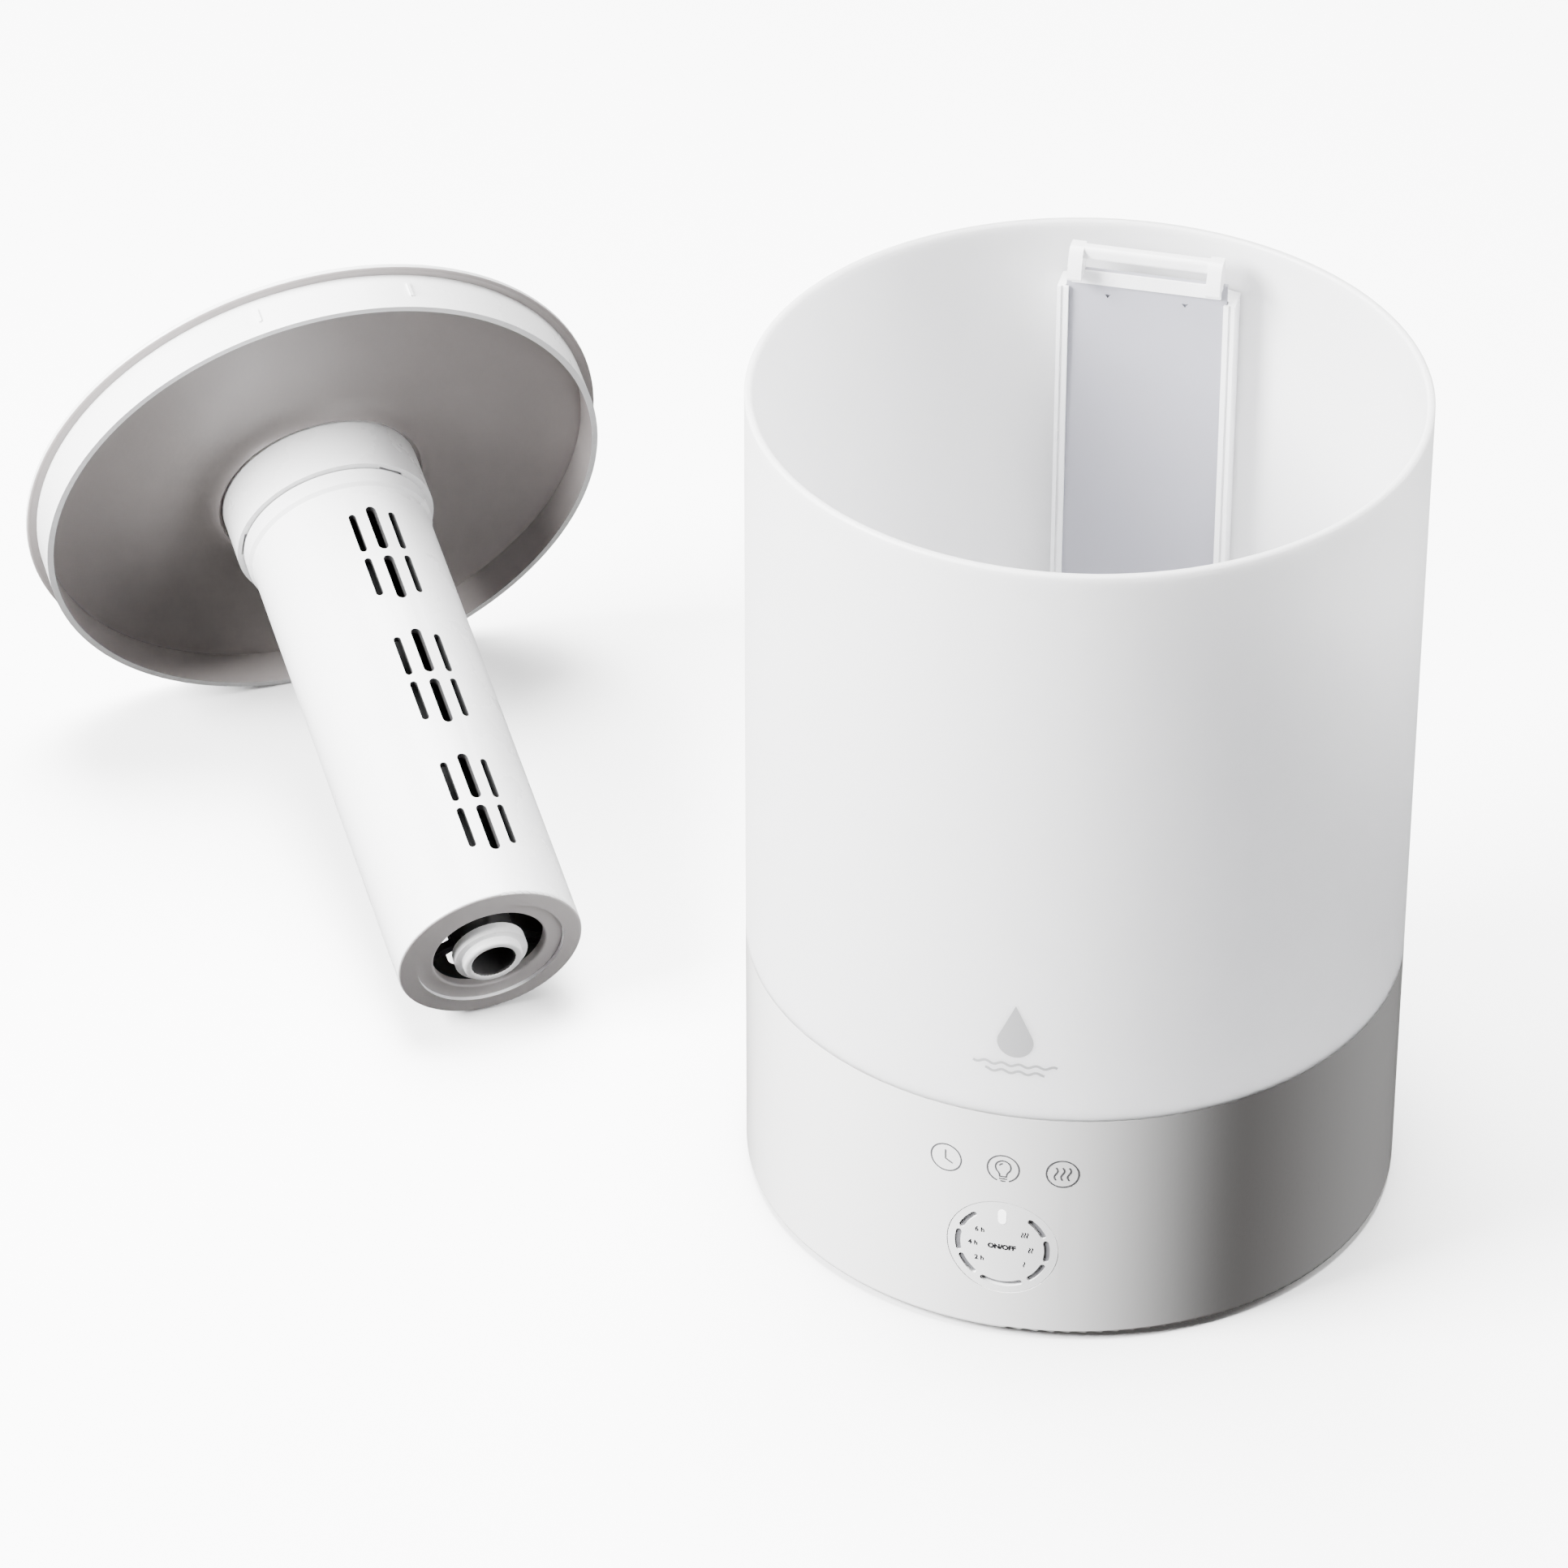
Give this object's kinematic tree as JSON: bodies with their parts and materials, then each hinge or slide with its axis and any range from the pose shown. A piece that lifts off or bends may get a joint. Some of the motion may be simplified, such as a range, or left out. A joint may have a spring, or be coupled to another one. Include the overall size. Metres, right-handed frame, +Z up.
{
  "type": "cool mist humidifier",
  "caption": "Round top-filled cool mist humidifier: white base with a dial, frosted open tank with a rear air duct, and its lid with a slotted mist tube lying beside it.",
  "frame": {"origin": "on the table, under the axis of the base and tank", "axes": "+Z up, dial towards -Y, air duct towards +Y; the lid lies towards -X and +Y"},
  "size_m": [0.5141, 0.3608, 0.2917],
  "materials": {
    "housing_white": "moulded, semi gloss",
    "plate_white": "moulded, fine texture",
    "tank_frost": "frosted translucent",
    "duct_white": "moulded, semi gloss",
    "cover_grey": "moulded, satin",
    "rubber_grey": "moulded",
    "silicone": "moulded",
    "steel": "machined",
    "aluminium": "die cast",
    "disc_steel": "lapped",
    "board_green": "solder mask",
    "component_black": "moulded",
    "fan_black": "moulded",
    "led_warm": "clear epoxy",
    "dial_white": "moulded, semi gloss",
    "dial_dark": "light guide, unlit",
    "pointer_white": "light guide",
    "lid_white": "moulded, semi gloss",
    "lid_inner": "moulded, satin",
    "tube_white": "moulded, semi gloss",
    "float_white": "moulded foam filled"
  },
  "bodies": {
    "base": {"base_housing": "housing_white", "bottom_plate": "plate_white", "rubber_feet": "rubber_grey", "base_screws": "steel", "tank_shell": "tank_frost", "tank_gasket": "silicone", "air_duct": "duct_white", "transducer_seal": "silicone", "transducer_disc": "disc_steel", "transducer_clamp": "aluminium", "clamp_screws": "steel", "float_post": "duct_white", "float_cap": "duct_white", "fan_housing": "fan_black", "fan_motor": "steel", "driver_board": "board_green", "board_standoffs": "plate_white", "driver_components": "component_black", "heat_sink": "aluminium", "control_board": "board_green", "dial_encoder": "steel", "night_light_board": "board_green", "night_light_leds": "led_warm", "power_inlet": "component_black", "dial_bezel": "plate_white"},
    "duct_cover_body": {"duct_cover": "cover_grey", "duct_handle": "duct_white"},
    "float_body": {"float_ring": "float_white"},
    "fan": {"fan_rotor": "fan_black"},
    "dial_carrier": {"dial_shaft": "steel"},
    "dial": {"dial_face": "dial_white", "dial_light_ring": "dial_dark", "dial_pointer": "pointer_white"},
    "lid": {"lid_cover": "lid_white", "lid_funnel": "lid_inner"},
    "tube": {"mist_tube": "tube_white", "tube_end_ring": "tube_white", "mist_guide": "tube_white"},
    "nozzle": {"mist_nozzle": "lid_white"}
  },
  "joints": [
    {"name": "lid_lift", "type": "slide", "parent": "base", "child": "lid", "axis": [0, 0, 1], "range_m": [0, 0.1]},
    {"name": "tube_twist", "type": "hinge", "parent": "lid", "child": "tube", "pos_m": [-0.3084, 0.1766, 0.0959], "axis": [0.5142, -0.7964, -0.3183], "range_deg": [0, 24]},
    {"name": "nozzle_turn", "type": "hinge", "parent": "lid", "child": "nozzle", "pos_m": [-0.3084, 0.1766, 0.0959], "axis": [0.5142, -0.7964, -0.3183], "continuous": true},
    {"name": "duct_cover_slide", "type": "slide", "parent": "base", "child": "duct_cover_body", "axis": [0, 0, 1], "range_m": [0, 0.18]},
    {"name": "float_rise", "type": "slide", "parent": "base", "child": "float_body", "axis": [0, 0, 1], "range_m": [0, 0.01]},
    {"name": "fan_spin", "type": "hinge", "parent": "base", "child": "fan", "pos_m": [0, 0.062, 0.0167], "axis": [0, 0, 1], "continuous": true},
    {"name": "dial_turn", "type": "hinge", "parent": "base", "child": "dial_carrier", "pos_m": [0, -0.105, 0.0353], "axis": [0, 1, 0], "range_deg": [-31, 31]},
    {"name": "dial_press", "type": "slide", "parent": "dial_carrier", "child": "dial", "axis": [0, 1, 0], "range_m": [0, 0.0012], "stiffness_N_per_m": 500, "springref_m": -0.0004}
  ]
}
